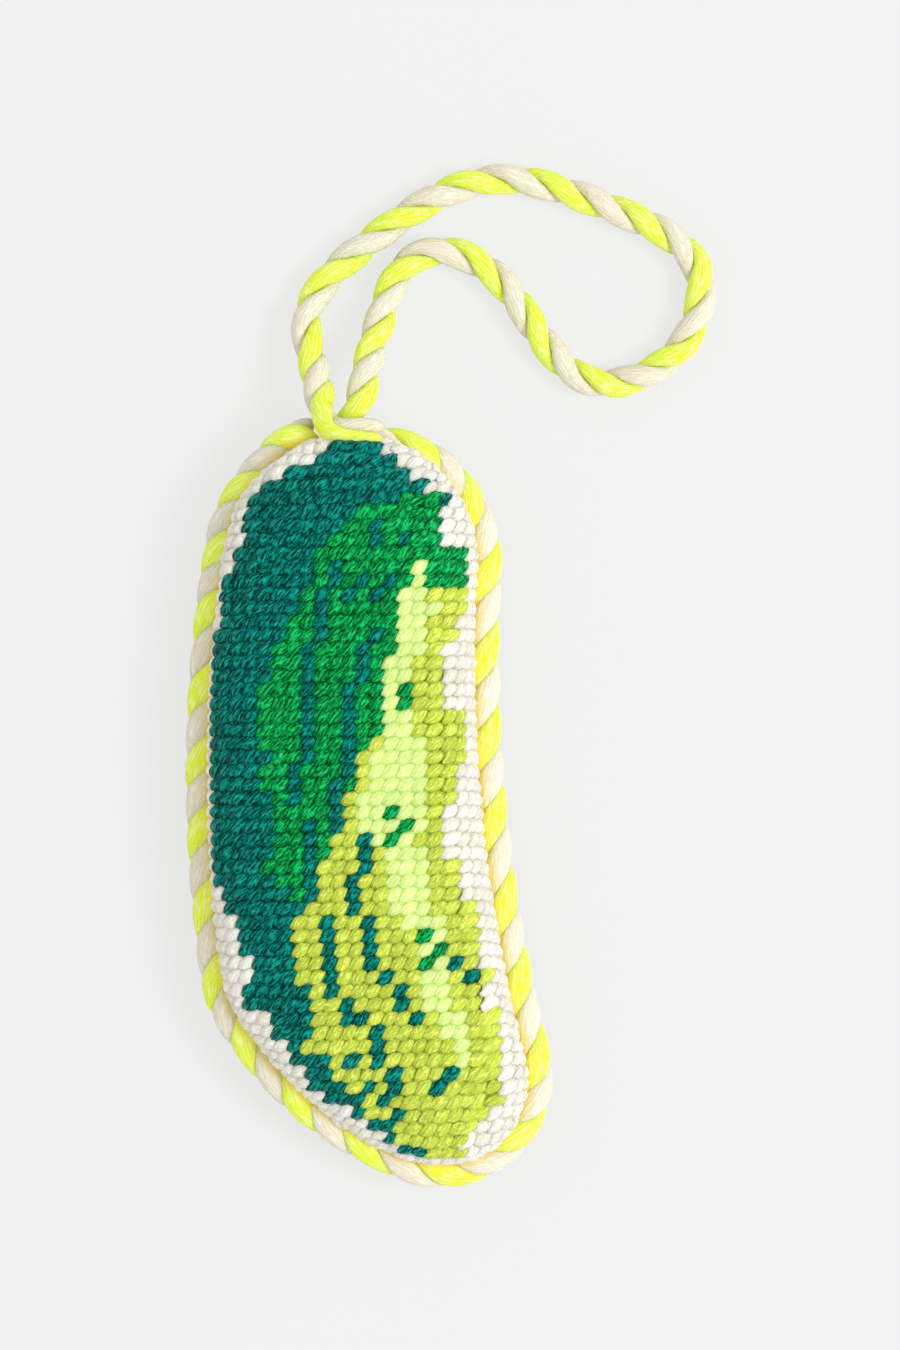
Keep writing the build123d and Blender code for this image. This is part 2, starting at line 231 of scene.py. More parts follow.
NEON_END = (
    (9, 15.7), (12, 16.8), (13, 16.0), (17, 15.0), (19, 14.6), (22, 15.7), (26, 16.0), (29, 15.4), (32, 15.8),
    (37, 17.4), (41, 17.4), (42, 18.4), (45, 18.0),
)
LIME_RIGHT_ROW = 11

# Single dashes of the chart: shade, then (row, column) of the two ends
DASHES = (
    ("teal", (35, 8.3), (40, 8.4)), ("teal", (29, 11.1), (31, 11.1)), ("teal", (32, 10.1), (34, 10.1)),
    ("teal", (35, 11.4), (38, 11.4)), ("teal", (39, 12.5), (39, 12.5)), ("teal", (40, 13.5), (41, 13.5)),
    ("teal", (42, 14.6), (42, 14.6)), ("teal", (41, 9.6), (42, 9.6)), ("teal", (42, 10.6), (42, 10.6)),
    ("teal", (43, 11.7), (45, 11.7)), ("teal", (45, 9.7), (45, 9.7)), ("teal", (47, 10.7), (47, 10.7)),
    ("teal", (46, 12.8), (47, 12.8)), ("teal", (48, 11.8), (48, 11.8)), ("teal", (49, 12.8), (49, 12.8)),
    ("teal", (50, 11.1), (50, 11.1)), ("teal", (51, 11.8), (51, 11.8)), ("teal", (52, 12.8), (52, 12.8)),
    ("teal", (46, 16.0), (47, 15.2)), ("teal", (38, 17.5), (38, 17.5)), ("teal", (39, 18.5), (39, 18.5)),
    ("emerald", (18, 14.1), (19, 14.1)), ("emerald", (27, 13.7), (27, 13.7)),
    ("emerald", (28, 14.7), (28, 14.7)), ("emerald", (29, 13.7), (29, 13.7)),
    ("emerald", (36, 15.5), (36, 15.5)), ("emerald", (37, 16.5), (37, 16.5)),
    ("emerald", (38, 15.5), (38, 15.5)),
    ("teal", (4, 17.0), (4, 17.0)), ("teal", (6, 12.8), (7, 12.1)), ("teal", (7, 14.1), (7, 14.1)),
    ("teal", (9, 9.2), (10, 9.2)), ("teal", (11, 8.3), (14, 8.3)), ("teal", (15, 7.4), (23, 7.1)),
    ("teal", (23, 7.1), (26, 6.1)), ("teal", (28, 7.6), (32, 7.6)), ("teal", (33, 7.0), (34, 6.9)),
    ("teal", (10, 11.1), (11, 10.2)), ("teal", (10, 13.3), (11, 12.4)), ("teal", (14, 12.5), (15, 11.6)),
    ("teal", (16, 11.3), (23, 10.1)), ("teal", (23, 10.1), (28, 9.6)),
)


class PickleSizes(bpy.types.PropertyGroup):
    """Sizes of the ornament's soft pieces"""

    stitch_pitch: bpy.props.FloatProperty(
        name="Stitch pitch", description="Spacing of the stitches along and across", default=1.983 * MM,
        unit="LENGTH",
    )
    stitch_width: bpy.props.FloatProperty(
        name="Stitch width", description="Width of the yarn in one stitch", default=2.2 * MM, unit="LENGTH"
    )
    stitch_thickness: bpy.props.FloatProperty(
        name="Stitch thickness", description="Thickness of the yarn in one stitch", default=1.15 * MM,
        unit="LENGTH",
    )
    stitch_rise: bpy.props.FloatProperty(
        name="Stitch rise", description="Height of the stitch's middle line over the canvas",
        default=0.62 * MM, unit="LENGTH",
    )
    cord_diameter: bpy.props.FloatProperty(
        name="Cord diameter", description="Width over both plies of the cord", default=5.1 * MM, unit="LENGTH"
    )
    loop_diameter: bpy.props.FloatProperty(
        name="Loop diameter", description="Width over both plies of the loop", default=4.6 * MM, unit="LENGTH"
    )
    cloth_cell: bpy.props.FloatProperty(
        name="Cloth cell", description="Size of the cloth's cells in the filling of the cushion",
        default=1.4 * MM, unit="LENGTH",
    )
    fill_pressure: bpy.props.FloatProperty(
        name="Filling", description="Pressure with which the filling swells the cushion", default=4.0
    )
    fill_limit: bpy.props.FloatProperty(
        name="Most swell", description="How far the filling may push the cloth", default=1.0 * MM,
        unit="LENGTH",
    )


class PickleColours(bpy.types.PropertyGroup):
    """Colours of the ornament's yarns and cloths"""

    teal: bpy.props.FloatVectorProperty(
        name="Teal wool", description="Dark green of the pickle's shaded side", subtype="COLOR", size=3,
        default=(0.004, 0.37, 0.292),
    )
    emerald: bpy.props.FloatVectorProperty(
        name="Emerald wool", description="Green of the pickle's middle", subtype="COLOR", size=3,
        default=(0.008, 0.65, 0.15),
    )
    lime: bpy.props.FloatVectorProperty(
        name="Lime wool", description="Yellow green of the pickle's light side", subtype="COLOR", size=3,
        default=(0.86, 1.0, 0.17),
    )
    neon: bpy.props.FloatVectorProperty(
        name="Neon wool", description="Bright green of the pickle's highlight", subtype="COLOR", size=3,
        default=(0.82, 1.0, 0.4),
    )
    cream: bpy.props.FloatVectorProperty(
        name="Cream wool", description="Ground round the pickle", subtype="COLOR", size=3,
        default=(1.0, 0.955, 0.82),
    )
    # The plies' colours: the lit colour on the fibres' tops, and a painted shade between the fibres
    yellow_ply: bpy.props.FloatVectorProperty(
        name="Yellow ply", description="Bright ply of the cord", subtype="COLOR", size=3,
        default=(0.83, 0.95, 0.27),
    )
    yellow_ply_shade: bpy.props.FloatVectorProperty(
        name="Yellow ply, deep", description="Bright ply between its fibres", subtype="COLOR", size=3,
        default=(0.73, 0.88, 0.006),
    )
    cream_ply: bpy.props.FloatVectorProperty(
        name="Cream ply", description="Pale ply of the cord", subtype="COLOR", size=3,
        default=(0.93, 0.88, 0.74),
    )
    cream_ply_shade: bpy.props.FloatVectorProperty(
        name="Cream ply, deep", description="Pale ply between its fibres", subtype="COLOR", size=3,
        default=(0.86, 0.77, 0.58),
    )
    # Depths: how dark the painted shade between the wool's strands is
    teal_depth: bpy.props.FloatProperty(
        name="Teal depth", description="Share of the colour left between the strands", default=0.1
    )
    emerald_depth: bpy.props.FloatProperty(
        name="Emerald depth", description="Share of the colour left between the strands", default=0.15
    )
    lime_depth: bpy.props.FloatProperty(
        name="Lime depth", description="Share of the colour left between the strands", default=0.75
    )
    neon_depth: bpy.props.FloatProperty(
        name="Neon depth", description="Share of the colour left between the strands", default=0.85
    )
    cream_depth: bpy.props.FloatProperty(
        name="Cream depth", description="Share of the colour left between the strands", default=0.98
    )
    # Painted glow: a steady emission on the neon and cream wool and the yellow ply, for the dyes'
    # fluorescence
    glow: bpy.props.FloatProperty(
        name="Neon glow", description="Light that the fluorescent dyes add to what they reflect", default=0.12
    )
    # The canvas's own paint, made darker as painted shade in the gaps between the stitches
    canvas_depth: bpy.props.FloatProperty(
        name="Canvas depth", description="Share of the wool's colour that the painted canvas has", default=0.7
    )
    # Painted reflection of the bright ply and painted shade in the groove beside the cushion
    cord_groove: bpy.props.FloatVectorProperty(
        name="Cord groove", description="Light of the bright ply caught in the groove beside the cushion",
        subtype="COLOR", size=3, default=(0.95, 0.74, 0.1),
    )
    backing: bpy.props.FloatVectorProperty(
        name="Backing", description="Velveteen on the back", subtype="COLOR", size=3,
        default=(0.02, 0.2, 0.13),
    )
    filling: bpy.props.FloatVectorProperty(
        name="Filling", description="Fibre inside the cushion", subtype="COLOR", size=3,
        default=(0.8, 0.79, 0.76),
    )
    thread: bpy.props.FloatVectorProperty(
        name="Thread", description="Sewing thread", subtype="COLOR", size=3, default=(0.75, 0.72, 0.62)
    )
    floor: bpy.props.FloatVectorProperty(
        name="Floor", description="Plain floor under the ornament", subtype="COLOR", size=3,
        default=(0.735, 0.735, 0.735),
    )


class PickleStage(bpy.types.PropertyGroup):
    """Camera and light"""

    view_centre: bpy.props.FloatVectorProperty(
        name="View centre", description="Point in the middle of the picture", size=2, subtype="XYZ",
        unit="LENGTH", default=(11.78 * MM, 18.56 * MM),
    )
    view_height: bpy.props.FloatProperty(
        name="View height", description="Height of the picture on the object", default=196.86 * MM,
        unit="LENGTH",
    )
    camera_height: bpy.props.FloatProperty(
        name="Camera height", description="Height of the camera over the floor", default=900 * MM,
        unit="LENGTH",
    )
    key_power: bpy.props.FloatProperty(
        name="Key lamp", description="Power of the large lamp at the right", default=29.0, unit="POWER"
    )
    sky_strength: bpy.props.FloatProperty(
        name="Sky", description="Strength of the light all round", default=0.8
    )
    shadow_softening: bpy.props.FloatProperty(
        name="Shadow softening", description="Share of the floor's shadows that the camera doesn't see",
        default=0.8,
    )


def meeting_point(start, start_reach, end, end_reach, side):
    """Point at the given distances from start and end, left (1) or right (-1) of the way between them."""
    span = (end - start).length
    along = (end - start) / span
    run = (span**2 + start_reach**2 - end_reach**2) / (2 * span)
    rise = math.sqrt(start_reach**2 - run**2)
    return start + along * run + Vector((-along.y, along.x)) * side * rise


def seam_arcs():
    """The seam line clockwise from its top: (centre, radius, outward angle at the start and at the end)."""
    top, foot, heel = (Vector(end[:2]) for end in (TOP_END, FOOT_END, HEEL_END))
    hollow = meeting_point(top, HOLLOW_SIDE_RADIUS + TOP_END[2], foot, HOLLOW_SIDE_RADIUS + FOOT_END[2], 1)
    base = meeting_point(foot, BASE_SIDE_RADIUS - FOOT_END[2], heel, BASE_SIDE_RADIUS - HEEL_END[2], -1)
    outer = meeting_point(heel, OUTER_SIDE_RADIUS - HEEL_END[2], top, OUTER_SIDE_RADIUS - TOP_END[2], -1)
    low = Vector((outer.x - OUTER_SIDE_RADIUS, foot.y - FOOT_END[2]))
    high = Vector((foot.x + FOOT_END[2], top.y + TOP_END[2]))
    middle = (low + high) / 2
    outwards = [
        Vector((0, 1)), hollow - top, hollow - foot, foot - base, heel - base, heel - outer, top - outer,
        Vector((0, 1)),
    ]
    angles = np.unwrap([math.atan2(way.y, way.x) for way in outwards])
    rounds = (
        (top, TOP_END[2]), (hollow, -HOLLOW_SIDE_RADIUS), (foot, FOOT_END[2]), (base, BASE_SIDE_RADIUS),
        (heel, HEEL_END[2]), (outer, OUTER_SIDE_RADIUS), (top, TOP_END[2]),
    )
    return [(centre - middle, radius, angles[i], angles[i + 1]) for i, (centre, radius) in enumerate(rounds)]


def seam_line(reach, spacing):
    """Points on the line that far outside the seam line, evenly spaced, and the outward ways there, in mm."""
    points, ways = [], []
    for centre, radius, start, end in seam_arcs():
        steps = max(2, round(abs((radius + reach) * (end - start)) / spacing))
        for step in range(steps):
            angle = start + (end - start) * step / steps
            way = np.array([math.cos(angle), math.sin(angle)])
            points.append(np.array(centre) + (radius + reach) * way)
            ways.append(way)
    return np.array(points), np.array(ways)


def mesh_piece(name, vertices, faces, material):
    """New object at the origin with that mesh, in metres, and smooth faces."""
    mesh = bpy.data.meshes.new(name)
    mesh.from_pydata([tuple(v) for v in vertices], [], faces)
    mesh.validate()
    mesh.polygons.foreach_set("use_smooth", [True] * len(mesh.polygons))
    if material:
        mesh.materials.append(material)
    piece = bpy.data.objects.new(name, mesh)
    bpy.context.collection.objects.link(piece)
    return piece


def evaluated_mesh(piece):
    """Plain mesh of a piece with its modifiers worked in."""
    depsgraph = bpy.context.evaluated_depsgraph_get()
    return bpy.data.meshes.new_from_object(piece.evaluated_get(depsgraph), depsgraph=depsgraph)


class NodeBoard:
    """Short way to place and link the nodes of one tree."""

    def __init__(self, tree):
        self.tree = tree

    def node(self, kind, feeds, **settings):
        """Place a node with its settings, feed its inputs by name or number, and return it."""
        node = self.tree.nodes.new(kind)
        for key, value in settings.items():
            setattr(node, key, value)
        for socket, value in feeds.items():
            self.feed(node.inputs[socket], value)
        return node

    def add(self, kind, *inputs, output=0, **settings):
        """Place a node, feed its inputs in order and return one of its outputs."""
        return self.node(kind, dict(enumerate(inputs)), **settings).outputs[output]

    def feed(self, socket, value):
        """Link or set one input, or leave it when the value is None."""
        if value is None:
            return
        if isinstance(value, bpy.types.NodeSocket):
            self.tree.links.new(value, socket)
        else:
            socket.default_value = value

    def math(self, operation, *inputs):
        """Place a Math node."""
        return self.add("ShaderNodeMath", *inputs, operation=operation)

    def mix(self, share, start, end):
        """Place a Mix node for colours."""
        return self.node("ShaderNodeMix", {0: share, 6: start, 7: end}, data_type="RGBA").outputs[2]

    def bump(self, height, distance):
        """Place a Bump node and return its normal."""
        feeds = {"Strength": 1.0, "Distance": distance, "Height": height}
        return self.node("ShaderNodeBump", feeds).outputs[0]

    def capture(self, geometry, name, value):
        """Capture a number on a geometry, and return both."""
        node = self.tree.nodes.new("GeometryNodeCaptureAttribute")
        node.capture_items.new("FLOAT", name)
        self.feed(node.inputs[0], geometry)
        self.feed(node.inputs[1], value)
        return node.outputs[0], node.outputs[1]

    def stored(self, name, kind):
        """Read a named attribute of a geometry."""
        return self.node("GeometryNodeInputNamedAttribute", {"Name": name}, data_type=kind).outputs[0]

    def store(self, geometry, name, value, kind, domain="POINT"):
        """Store a named attribute on a geometry, and return the geometry."""
        feeds = {"Geometry": geometry, "Name": name, "Value": value}
        return self.node("GeometryNodeStoreNamedAttribute", feeds, data_type=kind, domain=domain).outputs[0]


def yarn_group():
    """Shader group: strands and fibres that run along a twisted yarn, as a varied colour and a height; the
    colour holds painted shade between the strands and painted highlights on them.
    """
    tree = bpy.data.node_groups.get("yarn_strands")
    if tree:
        return tree
    tree = bpy.data.node_groups.new("yarn_strands", "ShaderNodeTree")
    for name, kind, default in (
        ("Strand Place", "NodeSocketVector", None),
        ("Colour", "NodeSocketColor", None),
        ("Shade Colour", "NodeSocketColor", None),
        ("Strand Count", "NodeSocketFloat", 9.0),
        ("Strand Share", "NodeSocketFloat", 0.5),
        ("Fibre Scale", "NodeSocketFloat", 3.0),
    ):
        socket = tree.interface.new_socket(name, in_out="INPUT", socket_type=kind)
        if default is not None:
            socket.default_value = default
    tree.interface.new_socket("Colour", in_out="OUTPUT", socket_type="NodeSocketColor")
    tree.interface.new_socket("Height", in_out="OUTPUT", socket_type="NodeSocketFloat")
    board = NodeBoard(tree)
    entry = board.node("NodeGroupInput", {})
    place, colour, shade, strand_count, strand_share, fibre_scale = entry.outputs[:6]
    across, over = (board.add("ShaderNodeSeparateXYZ", place, output=i) for i in range(2))
    round_yarn = board.math("MULTIPLY", board.math("ARCTAN2", over, across), strand_count)
    ridges = board.math("MULTIPLY_ADD", board.math("SINE", round_yarn), 0.5, 0.5)
    fibres = board.add("ShaderNodeTexNoise", place, None, fibre_scale, 3.0)
    flecks = board.add("ShaderNodeMapRange", fibres, 0.4, 0.6, 0.0, 1.0)
    flecks = board.math("MULTIPLY", flecks, board.math("SUBTRACT", 1.0, strand_share))
    height = board.math("MULTIPLY_ADD", ridges, strand_share, flecks)
    # Painted shade and highlight: low between the strands the colour goes to the shade colour, high on them
    # to the full colour
    light = board.add("ShaderNodeMapRange", height, 0.15, 0.85, 0.0, 1.0)
    board.node("NodeGroupOutput", {"Colour": board.mix(light, shade, colour), "Height": height})
    return tree


def deeper(colour, share):
    """Painted shade between the fibres: the colour darker, and fuller because the light meets the dye more
    often.
    """
    return np.power(colour, 1.5) * share


def plain_material(name):
    """New material with its board and its shader."""
    material = bpy.data.materials.new(name)
    material.use_nodes = True
    return material, NodeBoard(material.node_tree), material.node_tree.nodes["Principled BSDF"]


def yarn_material(
    name, colour, deep, strand_count, strand_share, fibre_scale, relief, varied=0.0, glow=0.0, softness=0.0,
    groove=None,
):
    """Twisted yarn that reads its strands from the piece's own strand attribute; its colour holds painted
    shade between the strands, a painted glow and, on the cord, painted reflection and shade in the groove.
    """
    material, board, shader = plain_material(name)
    place = board.add("ShaderNodeAttribute", attribute_name="strand", output=1)
    feeds = {
        "Strand Place": place, "Colour": (*colour, 1.0), "Shade Colour": (*deep, 1.0),
        "Strand Count": strand_count, "Strand Share": strand_share, "Fibre Scale": fibre_scale,
    }
    yarn = board.node("ShaderNodeGroup", feeds, node_tree=yarn_group())
    tint = yarn.outputs["Colour"]
    if varied:
        dye = board.add("ShaderNodeAttribute", attribute_name="dye", output=2)
        value = board.add("ShaderNodeMapRange", dye, 0.0, 1.0, 1.0 - varied, 1.0 + varied)
        tint = board.add("ShaderNodeHueSaturation", None, None, value, None, tint)
    # Painted reflection and shade: towards the groove beside the cushion the colour goes to the groove colour
    if groove:
        share = board.add("ShaderNodeAttribute", attribute_name="groove", output=2)
        tint = board.mix(share, tint, (*groove, 1.0))
    board.feed(shader.inputs["Base Color"], tint)
    board.feed(shader.inputs["Normal"], board.bump(yarn.outputs["Height"], relief))
    # Painted glow: the colour is also emitted, by the glow's strength
    board.feed(shader.inputs["Emission Color"], tint)
    shader.inputs["Emission Strength"].default_value = glow
    shader.inputs["Subsurface Weight"].default_value = softness
    shader.inputs["Subsurface Radius"].default_value = (1.0, 1.0, 0.6)
    shader.inputs["Subsurface Scale"].default_value = 1.5 * MM
    shader.inputs["Roughness"].default_value = 0.42
    shader.inputs["Specular IOR Level"].default_value = 0.3
    shader.inputs["Specular Tint"].default_value = (*np.power(colour, 0.4), 1.0)
    return material


def cloth_material(name, colour, scale, relief, roughness, sheen):
    """Cloth whose fine grain follows the piece's own coordinates."""
    material, board, shader = plain_material(name)
    place = board.add("ShaderNodeTexCoord", output=3)
    grain = board.add("ShaderNodeTexNoise", place, None, scale, 4.0)
    patch = board.add("ShaderNodeTexNoise", place, None, scale * 0.04, 2.0)
    tone = board.math("ADD", board.math("MULTIPLY", grain, 0.6), board.math("MULTIPLY", patch, 0.4))
    share = board.add("ShaderNodeMapRange", tone, 0.3, 0.7, 0.0, 1.0)
    dark, light = np.array(colour) * 0.7, np.minimum(np.array(colour) * 1.1, 1.0)
    board.feed(shader.inputs["Base Color"], board.mix(share, (*dark, 1.0), (*light, 1.0)))
    board.feed(shader.inputs["Normal"], board.bump(grain, relief))
    shader.inputs["Roughness"].default_value = roughness
    shader.inputs["Sheen Weight"].default_value = sheen
    return material


def canvas_material():
    """Painted cotton canvas: crossed threads in the colours of the chart, with painted shade darkening the
    holes between them.
    """
    material, board, shader = plain_material("needlepoint_canvas")
    place = board.add("ShaderNodeTexCoord", output=3)
    across, along = (board.add("ShaderNodeSeparateXYZ", place, output=i) for i in range(2))
    turn = math.pi / bpy.context.scene.pickle_sizes.stitch_pitch
    weft = board.math("ABSOLUTE", board.math("COSINE", board.math("MULTIPLY", across, turn)))
    warp = board.math("ABSOLUTE", board.math("COSINE", board.math("MULTIPLY", along, turn)))
    threads = board.math("MAXIMUM", weft, warp)
    paint = board.add("ShaderNodeAttribute", attribute_name="paint")
    # Painted shade in the holes: darker where the threads part
    value = board.add("ShaderNodeMapRange", threads, 0.55, 0.85, 0.6, 1.0)
    tint = board.add("ShaderNodeHueSaturation", None, None, value, None, paint)
    board.feed(shader.inputs["Base Color"], tint)
    board.feed(shader.inputs["Normal"], board.bump(threads, 0.2 * MM))
    shader.inputs["Roughness"].default_value = 0.85
    return material


def twisted_turn(middle, spots):
    """Angle of the yellow ply at each point of a middle line, so that it lies on top at the given places."""
    run = np.concatenate([[0.0], np.cumsum(np.linalg.norm(np.diff(middle, axis=0), axis=1))])
    places, first = [], 0
    for x, y in spots:
        away = np.linalg.norm(middle[first:, :2] - np.array([x, y]) * MM, axis=1)
        near = run[first:] < run[first] + NEXT_SPOT_REACH * MM
        first += int(np.argmin(np.where(near, away, np.inf)))
        places.append(run[first])
    pitch = (places[-1] - places[0]) / (len(places) - 1)
    places = [places[0] - FIRST_TURN_PITCHES * pitch, *places, places[-1] + pitch]
    return math.pi / 2 + 2 * math.pi * np.interp(run, places, np.arange(len(places)))


def ply_tube(name, middle, outward, upward, turn, width, shares, material):
    """One of two plies pressed together round a middle line. turn is its angle at each point."""
    reach, outer, inner, half = (share * width for share in shares)
    count = len(middle)
    away = np.cos(turn)[:, None] * outward + np.sin(turn)[:, None] * upward
    line = middle + reach * away
    forward = np.gradient(line, axis=0)
    forward /= np.linalg.norm(forward, axis=1)[:, None]
    beside = np.cross(forward, away)
    beside /= np.linalg.norm(beside, axis=1)[:, None]
    away = np.cross(beside, forward)
    run = np.concatenate([[0.0], np.cumsum(np.linalg.norm(np.diff(line, axis=0), axis=1))])
    knots = np.arange(0.0, run[-1] + 2 * PLY_UNEVEN_RUN * MM, PLY_UNEVEN_RUN * MM)
    uneven = np.random.default_rng(len(name)).uniform(-1, 1, len(knots))
    swell = 1.0 + PLY_UNEVENNESS * np.interp(run, knots, uneven)
    swell *= np.sqrt(np.clip(np.minimum(run, run[-1] - run) / half, PLY_TIP_SHARE, 1.0))
    vertices, strands = [], []
    for angle in np.arange(PLY_SIDES) * 2 * math.pi / PLY_SIDES:
        out = math.cos(angle) * (outer if math.cos(angle) > 0 else inner) * swell
        aside = math.sin(angle) * half * swell
        vertices.append(line + out[:, None] * away + aside[:, None] * beside)
        strand = angle + STRAND_TURN / MM * run
        strands.append(np.stack([np.cos(strand), np.sin(strand), run * FIBRE_RUN], axis=1))
    vertices = np.stack(vertices, axis=1).reshape(-1, 3)
    strands = np.stack(strands, axis=1).reshape(-1, 3)
    faces = []
    for row in range(count - 1):
        low, high = row * PLY_SIDES, (row + 1) * PLY_SIDES
        for side in range(PLY_SIDES):
            beyond = (side + 1) % PLY_SIDES
            faces.append((low + side, low + beyond, high + beyond, high + side))
    faces.append(tuple(reversed(range(PLY_SIDES))))
    faces.append(tuple(range((count - 1) * PLY_SIDES, count * PLY_SIDES)))
    piece = mesh_piece(name, vertices, faces, material)
    attribute = piece.data.attributes.new("strand", "FLOAT_VECTOR", "POINT")
    attribute.data.foreach_set("vector", strands.ravel())
    return piece


def mark_groove(piece, middle, outward):
    """Note on each point of an edge ply how deep it lies in the groove between the cord and the cushion, as
    the share of painted reflection and shade there.
    """
    places = np.array([vertex.co for vertex in piece.data.vertices]).reshape(len(middle), -1, 3)
    inward = -np.einsum("csk,ck->cs", places - middle[:, None], outward)
    share = np.clip((inward - GROOVE_START * MM) / ((GROOVE_END - GROOVE_START) * MM), 0.0, 1.0)
    attribute = piece.data.attributes.new("groove", "FLOAT", "POINT")
    attribute.data.foreach_set("value", share.ravel())


def cord_materials():
    """The two plies' yarns, made once for the edge and the loop."""
    colours = bpy.context.scene.pickle_colours
    # The yellow ply gets the painted glow
    for name, glow in (("yellow_ply", colours.glow), ("cream_ply", 0.0)):
        if name not in bpy.data.materials:
            yarn_material(
                name, getattr(colours, name), getattr(colours, f"{name}_shade"), strand_count=17.0,
                strand_share=0.2, fibre_scale=6.0, relief=0.15 * MM, glow=glow, softness=0.5,
                groove=tuple(colours.cord_groove),
            )
    return [bpy.data.materials[name] for name in ("yellow_ply", "cream_ply")]


class PICKLE_OT_stage(bpy.types.Operator):
    """Set the floor, the lamp, the light all round and the camera"""

    bl_idname = "pickle.stage"
    bl_label = "Stage"

    def execute(self, context):
        stage = context.scene.pickle_stage
        colours = context.scene.pickle_colours
        centre = Vector((*stage.view_centre, 0))

        material, board, shader = plain_material("pale_floor")
        place = board.add("ShaderNodeTexCoord", output=3)
        grain = board.add("ShaderNodeTexNoise", place, None, 3.0, 2.0)
        value = board.add("ShaderNodeMapRange", grain, 0.0, 1.0, 0.995, 1.005)
        seen = board.math("MULTIPLY", board.add("ShaderNodeLightPath"), stage.shadow_softening)
        shaded = board.math("MULTIPLY", value, board.math("SUBTRACT", 1.0, seen))
        tint = board.add("ShaderNodeHueSaturation", None, None, shaded, None, (*colours.floor, 1.0))
        board.feed(shader.inputs["Base Color"], tint)
        board.feed(shader.inputs["Emission Strength"], board.math("MULTIPLY", seen, FLOOR_WHITE))
        shader.inputs["Emission Color"].default_value = (1.0, 1.0, 1.0, 1.0)
        shader.inputs["Roughness"].default_value = 0.9
        shader.inputs["Specular IOR Level"].default_value = 0.1
        corners = [(x * FLOOR_REACH, y * FLOOR_REACH, 0) for x, y in ((-1, -1), (1, -1), (1, 1), (-1, 1))]
        floor = mesh_piece("pale_floor", corners, [(0, 1, 2, 3)], material)

        lamp = bpy.data.lights.new("key_lamp", "AREA")
        lamp.shape = "DISK"
        lamp.size = LAMP_SIZE
        lamp.energy = stage.key_power
        key = bpy.data.objects.new("key_lamp", lamp)
        key.location = centre + Vector(LAMP_PLACE)
        key.rotation_euler = (centre - key.location).to_track_quat("-Z", "Y").to_euler()
        context.collection.objects.link(key)

        world = bpy.data.worlds.new("soft_sky")
        world.use_nodes = True
        board = NodeBoard(world.node_tree)
        back = world.node_tree.nodes["Background"]
        seen = board.add("ShaderNodeLightPath")
        board.feed(back.inputs["Color"], (1.0, 1.0, 1.0, 1.0))
        strength = board.add("ShaderNodeMapRange", seen, 0.0, 1.0, stage.sky_strength, FLOOR_WHITE)
        board.feed(back.inputs["Strength"], strength)
        context.scene.world = world
        context.scene.view_settings.view_transform = "Standard"

        lens = bpy.data.cameras.new("camera")
        lens.sensor_fit = "VERTICAL"
        lens.sensor_height = SENSOR
        lens.sensor_width = SENSOR * IMAGE_WIDTH / IMAGE_HEIGHT
        lens.lens = SENSOR * (stage.camera_height - SEAM_HEIGHT * MM) / stage.view_height
        camera = bpy.data.objects.new("camera", lens)
        camera.location = (centre.x, centre.y, stage.camera_height)
        context.collection.objects.link(camera)
        context.scene.camera = camera
        return {"FINISHED"}


class PICKLE_OT_hanging_loop(bpy.types.Operator):
    """Make the loop's two plies along its route"""

    bl_idname = "pickle.hanging_loop"
    bl_label = "Hanging loop"

    def execute(self, context):
        sizes = context.scene.pickle_sizes
        route = [((x + LOOP_ROOT[0]) * MM, (y + LOOP_ROOT[1]) * MM, z * MM) for x, y, z in LOOP_ROUTE]
        curve = bpy.data.curves.new("loop_route", "CURVE")
        curve.dimensions = "3D"
        curve.resolution_u = 12
        spline = curve.splines.new("NURBS")
        spline.points.add(len(route) - 1)
        for point, place in zip(spline.points, route):
            point.co = (*place, 1.0)
        spline.order_u = 3
        spline.use_endpoint_u = True
        holder = bpy.data.objects.new("loop_route", curve)
        context.collection.objects.link(holder)
        line = evaluated_mesh(holder)
        middle = np.array([vertex.co for vertex in line.vertices])
        bpy.data.objects.remove(holder)

        forward = np.gradient(middle, axis=0)
        forward /= np.linalg.norm(forward, axis=1)[:, None]
        outward = np.column_stack([-forward[:, 1], forward[:, 0], np.zeros(len(forward))])
        outward /= np.linalg.norm(outward, axis=1)[:, None]
        upward = np.cross(forward, outward)
        turn = twisted_turn(middle, LOOP_YELLOW)
        for index, material in enumerate(cord_materials()):
            name = ("loop_yellow_ply", "loop_cream_ply")[index]
            angle = turn + index * math.pi
            piece = ply_tube(name, middle, outward, upward, angle, sizes.loop_diameter, LOOP_PLY, material)
            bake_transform(piece)
        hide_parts("hanging_loop")
        return {"FINISHED"}


